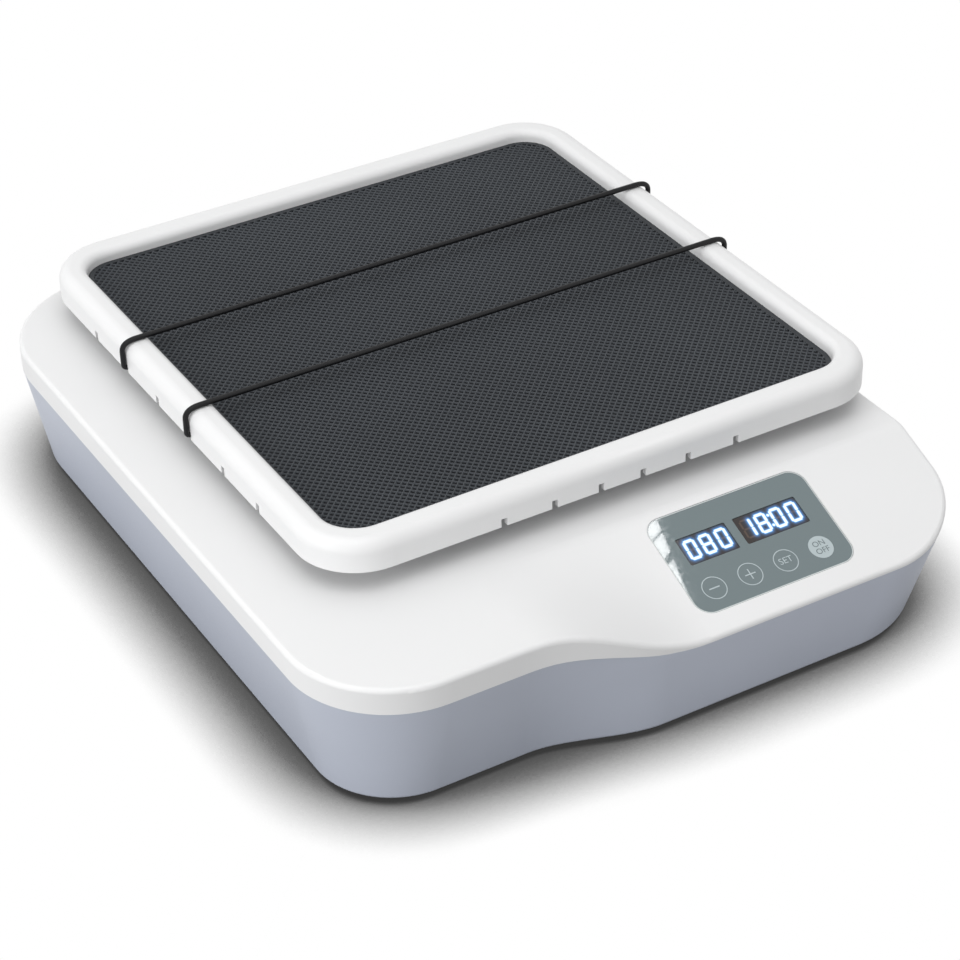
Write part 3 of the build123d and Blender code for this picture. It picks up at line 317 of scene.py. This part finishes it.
def band(name, along):
    """One elastic band from its bead behind the left slot over both rims to the right slot."""
    curve = bpy.data.curves.new(name, "CURVE")
    curve.dimensions = "3D"
    curve.resolution_u = 24
    curve.bevel_depth = band_diameter / 2 * MM
    curve.bevel_resolution = 5
    curve.use_fill_caps = True
    spline = curve.splines.new("NURBS")
    spline.points.add(len(band_route) - 1)
    for point, (across, height) in zip(spline.points, band_route):
        point.co = ((pin.x + across) * MM, (pin.y + along) * MM, height * MM, 1.0)
    spline.order_u = 3
    spline.use_endpoint_u = True
    obj = bpy.data.objects.new(name + "_elastic", curve)
    bpy.context.collection.objects.link(obj)
    curve.materials.append(elastic)
    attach(obj, "platform")
    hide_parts(name)


for band_name, band_y in band_places.items():
    band(band_name, band_y)


# Mat with its crossed ridges


def rounded_outline(half_x, half_y, corner):
    """Points round a rectangle with rounded corners, counterclockwise."""
    points = []
    for index, (sx, sy) in enumerate(((1, 1), (-1, 1), (-1, -1), (1, -1))):
        for step in range(corner_steps + 1):
            angle = math.radians(90 * (index + step / corner_steps))
            x = sx * (half_x - corner) + corner * math.cos(angle)
            y = sy * (half_y - corner) + corner * math.sin(angle)
            points.append((x, y))
    return points


def clip_line(outline, start, direction):
    """The stretch of a line that lies inside a convex outline, as two distances."""
    low, high = -1e9, 1e9
    count = len(outline)
    for index in range(count):
        ax, ay = outline[index]
        bx, by = outline[(index + 1) % count]
        nx, ny = by - ay, ax - bx
        if nx == 0 and ny == 0:
            continue
        ahead = nx * direction[0] + ny * direction[1]
        room = nx * (ax - start[0]) + ny * (ay - start[1])
        if abs(ahead) < 1e-12:
            if room < 0:
                return None
        elif ahead > 0:
            high = min(high, room / ahead)
        else:
            low = max(low, room / ahead)
    return (low, high) if high - low > shortest_ridge else None


def ridges(outline, lean, base, height):
    """Long moulded ridges across the mat in one direction."""
    vertices, faces = [], []
    along = (math.sqrt(0.5), lean * math.sqrt(0.5))
    across = (-along[1], along[0])
    profile = (
        (-ridge_foot / 2, 0.0),
        (-ridge_crest / 2, height * ridge_shoulder),
        (0.0, height),
        (ridge_crest / 2, height * ridge_shoulder),
        (ridge_foot / 2, 0.0),
    )
    for index in range(-mat_lines, mat_lines + 1):
        middle = (across[0] * mat_pitch * index, across[1] * mat_pitch * index)
        reach = clip_line(outline, middle, along)
        if not reach:
            continue
        first = len(vertices)
        for distance in reach:
            for offset, rise in profile:
                x = pin.x + middle[0] + along[0] * distance + across[0] * offset
                y = pin.y + middle[1] + along[1] * distance + across[1] * offset
                vertices.append((x, y, base + rise))
        wide = len(profile)
        for step in range(wide - 1):
            a = first + step
            faces.append((a, a + 1, a + 1 + wide, a + wide))
        faces.append(tuple(first + step for step in range(wide)))
        faces.append(tuple(first + wide + step for step in reversed(range(wide))))
    return vertices, faces


def mat():
    """Rubber sheet that fills the recess, with fine ridges that cross each other; the sheet is near black as
    painted shade between the ridges, and the ridges are lighter as a painted sheen.
    """
    low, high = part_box("tray_mat")
    half_x = (high.x - low.x) / 2 / MM
    half_y = (high.y - low.y) / 2 / MM
    bottom, top = low.z / MM, high.z / MM
    base = top - ridge_height
    outline = rounded_outline(half_x, half_y, mat_corner)
    count = len(outline)
    vertices = [(pin.x + x, pin.y + y, bottom) for x, y in outline]
    vertices += [(pin.x + x, pin.y + y, base) for x, y in outline]
    faces = [tuple(reversed(range(count))), tuple(range(count, 2 * count))]
    faces += [(i, (i + 1) % count, count + (i + 1) % count, count + i) for i in range(count)]
    sheet = mesh_piece("mat_sheet", vertices, faces, rubber_painted_shade, "platform")
    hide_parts("tray_mat")
    inner = rounded_outline(half_x - mat_border, half_y - mat_border, mat_corner - mat_border)
    directions = (("mat_ridges_a", 1, ridge_height), ("mat_ridges_b", -1, ridge_height - ridge_step))
    for name, lean, height in directions:
        vertices, faces = ridges(inner, lean, base, height)
        mesh_piece(name, vertices, faces, rubber_painted_sheen, "platform")
    mat_rim(half_x, half_y, base, top)


def mat_rim(half_x, half_y, base, top):
    """Smooth raised border round the ridges."""
    vertices, faces = [], []
    crown = top - rim_round
    for inset, height in ((0.0, base), (rim_round, crown), (mat_border, crown), (mat_border, base)):
        outline = rounded_outline(half_x - inset, half_y - inset, mat_corner - inset)
        vertices += [(pin.x + x, pin.y + y, height) for x, y in outline]
    count = len(outline)
    for ring in range(3):
        for i in range(count):
            j = (i + 1) % count
            faces.append((ring * count + i, ring * count + j, (ring + 1) * count + j, (ring + 1) * count + i))
    mesh_piece("mat_border_rim", vertices, faces, border, "platform")


mat()


# Print on the control panel


def flat_ring(name, x, down, radius, width, material, out=overlay_face + print_lift):
    """Printed ring, or a disc where width is the radius."""
    vertices, faces = [], []
    inner = max(radius - width, 0.0)
    for step in range(ring_steps):
        angle = 2 * math.pi * step / ring_steps
        for r in (radius, inner):
            vertices.append(on_slope(x + r * math.cos(angle), down - r * math.sin(angle), out))
    if inner:
        for step in range(ring_steps):
            a, b = 2 * step, 2 * ((step + 1) % ring_steps)
            faces.append((a, b, b + 1, a + 1))
    else:
        faces.append(tuple(range(0, 2 * ring_steps, 2)))
    mesh_piece(name, vertices, faces, material, "base")


def flat_bar(name, x, down, width, height, material, out=overlay_face + print_lift):
    """Printed bar on the panel."""
    corners = ((-1, -1), (1, -1), (1, 1), (-1, 1))
    vertices = [on_slope(x + sx * width / 2, down - sy * height / 2, out) for sx, sy in corners]
    mesh_piece(name, vertices, [(0, 1, 2, 3)], material, "base")


def sign(name, text, x, down, size, material, out=overlay_face + letter_lift):
    """Printed letters, centred on a place of the panel."""
    curve = bpy.data.curves.new(name, "FONT")
    curve.body = text
    curve.size = size * MM
    curve.align_x = "CENTER"
    curve.align_y = "CENTER"
    curve.resolution_u = 6
    shape = bpy.data.objects.new(name + "_curve", curve)
    bpy.context.collection.objects.link(shape)
    bpy.context.view_layer.update()
    graph = bpy.context.evaluated_depsgraph_get()
    mesh = bpy.data.meshes.new_from_object(shape.evaluated_get(graph))
    bpy.data.objects.remove(shape)
    obj = bpy.data.objects.new(name, mesh)
    bpy.context.collection.objects.link(obj)
    centre = on_slope(x, down, out) * MM
    obj.matrix_world = Matrix.Translation(centre) @ Matrix.Rotation(slope_angle, 4, "X")
    mesh.materials.clear()
    mesh.materials.append(material)
    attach(obj, "base")


def panel_lip():
    """Thin bright edge of the clear film round the panel."""
    low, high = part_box("panel_overlay")
    half_x = (high.x - low.x) / 2 / MM
    centre_x = (high.x + low.x) / 2 / MM
    half_down = panel_length / 2
    vertices, faces = [], []
    rings = []
    for inset in (lip_inset, lip_inset + lip_width):
        rings.append(rounded_outline(half_x - inset, half_down - inset, panel_corner - inset))
    outer, inner = rings
    for points, out in ((outer, overlay_face + lip_low), (inner, overlay_face + lip_high)):
        vertices += [on_slope(centre_x + x, panel_middle - y, out) for x, y in points]
    count = len(outer)
    for i in range(count):
        j = (i + 1) % count
        faces.append((i, j, count + j, count + i))
    mesh_piece("panel_lip", vertices, faces, lip_finish, "base")


panel_lip()
minus_x, plus_x, set_x, on_off_x = (key_first + index * key_pitch for index in range(4))
for index, key_x in enumerate((minus_x, plus_x, set_x)):
    flat_ring("key_ring_%d" % (index + 1), key_x, key_line, key_radius, key_line_width, print_light)
flat_ring("key_disc", on_off_x, key_line, key_radius, key_radius, print_light)
flat_bar("key_minus", minus_x, key_line, key_mark, key_minus_width, print_light)
flat_bar("key_plus_bar", plus_x, key_line, key_mark, key_plus_width, print_light)
flat_bar("key_plus_post", plus_x, key_line, key_plus_width, key_mark, print_light, overlay_face + post_lift)
sign("key_set", "SET", set_x, key_line, key_word_size, print_light)
sign("key_on", "ON", on_off_x, key_line - key_pair_offset, key_pair_size, print_dark)
sign("key_off", "OFF", on_off_x, key_line + key_pair_offset, key_pair_size, print_dark)


# Digits behind the windows, in millimetres

digit_width = 4.5
digit_height = 9.0
digit_slant = 0.05
stroke = 0.60
segment_gap = 0.72
speed_digits = ((29.15, "0"), (37.0, "8"), (45.1, "0"))
time_digits = ((58.25, "1"), (66.0, "8"), (74.0, "0"), (82.0, "0"))
colon_x = 70.15
colon_half = 2.7
digit_middle = 22.75
window_top = 16.05
window_bottom = 29.85
speed_window = (24.35, 49.25)
time_window = (53.95, 86.25)
plate_lift = 0.04
plate_step = 0.22
stroke_edge = 0.22
halo_reach = 0.55
ghost_edge = 0.3
# The unlit segments and the dark window get a faint painted glow: the plate emits their colours
unlit_painted_glow = 0.055
far_away = 9.0
window_painted_glow = (0.013, 0.009, 0.008)
halo_tone = (0.10, 0.42, 1.00)
painted_unlit_tone = (1.00, 0.62, 0.40)

lit_segments = {"0": "abcdef", "1": "bc", "8": "abcdefg"}


def segment_ends(letter):
    """Both ends of a segment's centre line, from the digit's middle, across and down."""
    w, h, g = digit_width / 2, digit_height / 2, segment_gap
    return {
        "a": ((-w + g, -h), (w - g, -h)),
        "b": ((w, -h + g), (w, -g)),
        "c": ((w, g), (w, h - g)),
        "d": ((-w + g, h), (w - g, h)),
        "e": ((-w, g), (-w, h - g)),
        "f": ((-w, -h + g), (-w, -g)),
        "g": ((-w + g, 0.0), (w - g, 0.0)),
    }[letter]


def strokes(digits, colon=None):
    """Centre lines of all lit segments with the colon's dots, and of the unlit segments."""
    lit, unlit = [], []
    for x, value in digits:
        for letter in "abcdefg":
            ends = [(x + px - digit_slant * py, digit_middle + py) for px, py in segment_ends(letter)]
            (lit if letter in lit_segments[value] else unlit).append(ends)
    if colon:
        for rise in (-colon_half, colon_half):
            spot = (colon - digit_slant * rise, digit_middle + rise)
            lit.append([spot, spot])
    return lit, unlit


def nearness(x, down, ends):
    """Distance of a point from a short line."""
    (ax, ay), (bx, by) = ends
    length = (bx - ax) ** 2 + (by - ay) ** 2
    share = 0.0
    if length:
        share = min(1.0, max(0.0, ((x - ax) * (bx - ax) + (down - ay) * (by - ay)) / length))
    return math.hypot(x - ax - share * (bx - ax), down - ay - share * (by - ay))


def display_glow(name, left, right, top, bottom, lit, unlit):
    """Plate behind a window whose light falls off round each lit segment; the window and the unlit segments
    also get a faint painted glow in place of the light they reflect.
    """
    columns = int((right - left) / plate_step) + 1
    rows = int((bottom - top) / plate_step) + 1
    vertices, faces, light, dim = [], [], [], []
    for row in range(rows + 1):
        for column in range(columns + 1):
            x = left + (right - left) * column / columns
            down = top + (bottom - top) * row / rows
            vertices.append(on_slope(x, down, display_face + plate_lift))
            light.append(min(nearness(x, down, ends) for ends in lit))
            dim.append(min((nearness(x, down, ends) for ends in unlit), default=far_away))
    for row in range(rows):
        for column in range(columns):
            a = row * (columns + 1) + column
            faces.append((a, a + columns + 1, a + columns + 2, a + 1))
    obj = mesh_piece(name, vertices, faces, glow_material, "base")
    shade = obj.data.color_attributes.new("light", "FLOAT_COLOR", "POINT")
    for item, near, off in zip(shade.data, light, dim):
        core = max(0.0, min(1.0, (stroke + stroke_edge - near) / (2 * stroke_edge)))
        halo = math.exp(-max(near - stroke, 0.0) / halo_reach)
        # Painted glow of the unlit segments
        painted_glow = unlit_painted_glow * max(0.0, min(1.0, (stroke - off) / ghost_edge))
        tones = zip(window_painted_glow, halo_tone, painted_unlit_tone)
        item.color = (*(window + core + blue * halo + brown * painted_glow for window, blue, brown in tones), 1.0)


def glowing_plate():
    """Smoked window whose own light comes from the plate's colours; the faint glow of the window and of the
    unlit segments is painted light.
    """
    material, tree, shader = new_material("display_light")
    shader.inputs["Base Color"].default_value = (0.012, 0.009, 0.008, 1.0)
    shader.inputs["Roughness"].default_value = 0.15
    shade = tree.nodes.new("ShaderNodeAttribute")
    shade.attribute_name = "light"
    tree.links.new(shade.outputs["Color"], shader.inputs["Emission Color"])
    shader.inputs["Emission Strength"].default_value = 1.0
    return material


glow_material = glowing_plate()
speed_lit, speed_unlit = strokes(speed_digits)
time_lit, time_unlit = strokes(time_digits, colon_x)
display_glow("speed_light", *speed_window, window_top, window_bottom, speed_lit, speed_unlit)
display_glow("time_light", *time_window, window_top, window_bottom, time_lit, time_unlit)


# Studio: pale floor, soft light from above and the left, and one card that the panel reflects


def lamp(name, place, target, size, power, mirrored=True):
    """A square softbox aimed at a point; gloss doesn't show it where mirrored is off."""
    data = bpy.data.lights.new(name, "AREA")
    data.shape = "SQUARE"
    data.size = size
    data.energy = power
    obj = bpy.data.objects.new(name, data)
    bpy.context.collection.objects.link(obj)
    aim = Vector(target) - Vector(place)
    obj.matrix_world = Matrix.Translation(place) @ aim.to_track_quat("-Z", "Y").to_matrix().to_4x4()
    obj.visible_glossy = mirrored


def path_choice(tree, plain, seen):
    """One shader for the light that falls on the object, another for what a camera or mirror sees."""
    path = tree.nodes.new("ShaderNodeLightPath")
    first = tree.nodes.new("ShaderNodeMath")
    first.operation = "MAXIMUM"
    second = tree.nodes.new("ShaderNodeMath")
    second.operation = "MAXIMUM"
    tree.links.new(path.outputs["Is Camera Ray"], first.inputs[0])
    tree.links.new(path.outputs["Is Glossy Ray"], first.inputs[1])
    tree.links.new(first.outputs[0], second.inputs[0])
    tree.links.new(path.outputs["Is Transmission Ray"], second.inputs[1])
    mix = tree.nodes.new("ShaderNodeMixShader")
    tree.links.new(second.outputs[0], mix.inputs["Fac"])
    tree.links.new(plain, mix.inputs[1])
    tree.links.new(seen, mix.inputs[2])
    return mix.outputs[0]


def floor():
    """Pale floor: white where the camera sees it, with a painted shadow that darkens the more the object
    closes it in.
    """
    mesh = bpy.data.meshes.new("floor")
    corners = [(sx * floor_half, sy * floor_half, 0.0) for sx, sy in ((-1, -1), (1, -1), (1, 1), (-1, 1))]
    mesh.from_pydata(corners, [], [(0, 1, 2, 3)])
    obj = bpy.data.objects.new("floor", mesh)
    bpy.context.collection.objects.link(obj)
    obj.location.z = -floor_drop
    material = bpy.data.materials.new("floor")
    material.use_nodes = True
    tree = material.node_tree
    tree.nodes.clear()
    plain = tree.nodes.new("ShaderNodeBsdfDiffuse")
    plain.inputs["Color"].default_value = (floor_bounce, floor_bounce, floor_bounce, 1.0)
    closed = tree.nodes.new("ShaderNodeAmbientOcclusion")
    closed.samples = 16
    closed.inputs["Distance"].default_value = floor_shadow_reach
    shade = tree.nodes.new("ShaderNodeValToRGB")
    for position, _ in floor_shadow[1:-1]:
        shade.color_ramp.elements.new(position)
    for element, (position, value) in zip(shade.color_ramp.elements, floor_shadow):
        element.position = position
        element.color = (value, value, value, 1.0)
    lit = tree.nodes.new("ShaderNodeEmission")
    out = tree.nodes.new("ShaderNodeOutputMaterial")
    tree.links.new(closed.outputs["AO"], shade.inputs["Fac"])
    tree.links.new(shade.outputs["Color"], lit.inputs["Color"])
    surface_shader = path_choice(tree, plain.outputs[0], lit.outputs[0])
    tree.links.new(surface_shader, out.inputs["Surface"])
    mesh.materials.append(material)


def sky():
    """Soft fill light, stronger from above; plain white where the camera or a mirror sees it."""
    world = bpy.data.worlds.new("studio")
    bpy.context.scene.world = world
    world.use_nodes = True
    tree = world.node_tree
    tree.nodes.clear()
    coordinates = tree.nodes.new("ShaderNodeTexCoord")
    split = tree.nodes.new("ShaderNodeSeparateXYZ")
    rise = tree.nodes.new("ShaderNodeMapRange")
    rise.inputs["To Min"].default_value = sky_low
    rise.inputs["To Max"].default_value = sky_high
    fill = tree.nodes.new("ShaderNodeBackground")
    seen = tree.nodes.new("ShaderNodeBackground")
    seen.inputs["Strength"].default_value = 1.0
    out = tree.nodes.new("ShaderNodeOutputWorld")
    for node in (seen, fill):
        node.inputs["Color"].default_value = (1.0, 1.0, 1.0, 1.0)
    tree.links.new(coordinates.outputs["Generated"], split.inputs[0])
    tree.links.new(split.outputs["Z"], rise.inputs["Value"])
    tree.links.new(rise.outputs["Result"], fill.inputs["Strength"])
    tree.links.new(path_choice(tree, fill.outputs[0], seen.outputs[0]), out.inputs["Surface"])


def card():
    """White card that only mirrors see: its edge crosses the reflection in the panel's left part."""
    normal = (on_slope(0, 0, 1) - on_slope(0, 0, 0)).normalized()
    (top_x, top_down), (end_x, end_down) = card_line
    corners = []
    for first, last in card_panes:
        for share, aside in ((first, 0.0), (last, 0.0), (last, card_slant), (first, card_slant)):
            x = top_x + (end_x - top_x) * share + (card_far if aside else 0.0)
            down = top_down + (end_down - top_down) * share + aside
            spot = on_slope(x, down, overlay_face) * MM
            ray = (spot - camera_place).normalized()
            bounced = ray - 2 * ray.dot(normal) * normal
            corners.append(spot + bounced * card_distance)
    mesh = bpy.data.meshes.new("reflected_card")
    mesh.from_pydata(corners, [], [tuple(range(4 * i, 4 * i + 4)) for i in range(len(card_panes))])
    obj = bpy.data.objects.new("reflected_card", mesh)
    bpy.context.collection.objects.link(obj)
    material, _, shader = new_material("reflected_card")
    shader.inputs["Base Color"].default_value = (0.0, 0.0, 0.0, 1.0)
    shader.inputs["Emission Color"].default_value = (1.0, 1.0, 1.0, 1.0)
    shader.inputs["Emission Strength"].default_value = card_strength
    mesh.materials.append(material)
    for kind in ("camera", "diffuse", "transmission", "shadow", "volume_scatter"):
        setattr(obj, "visible_" + kind, False)


floor()
sky()
card()
lamp("top_softbox", (-0.4, -0.3, 1.8), lamp_target, 1.5, 9.0)
lamp("left_softbox", (-1.6, -0.3, 0.30), lamp_target, 1.2, 15.0, mirrored=False)

bpy.context.scene.view_settings.view_transform = "Standard"
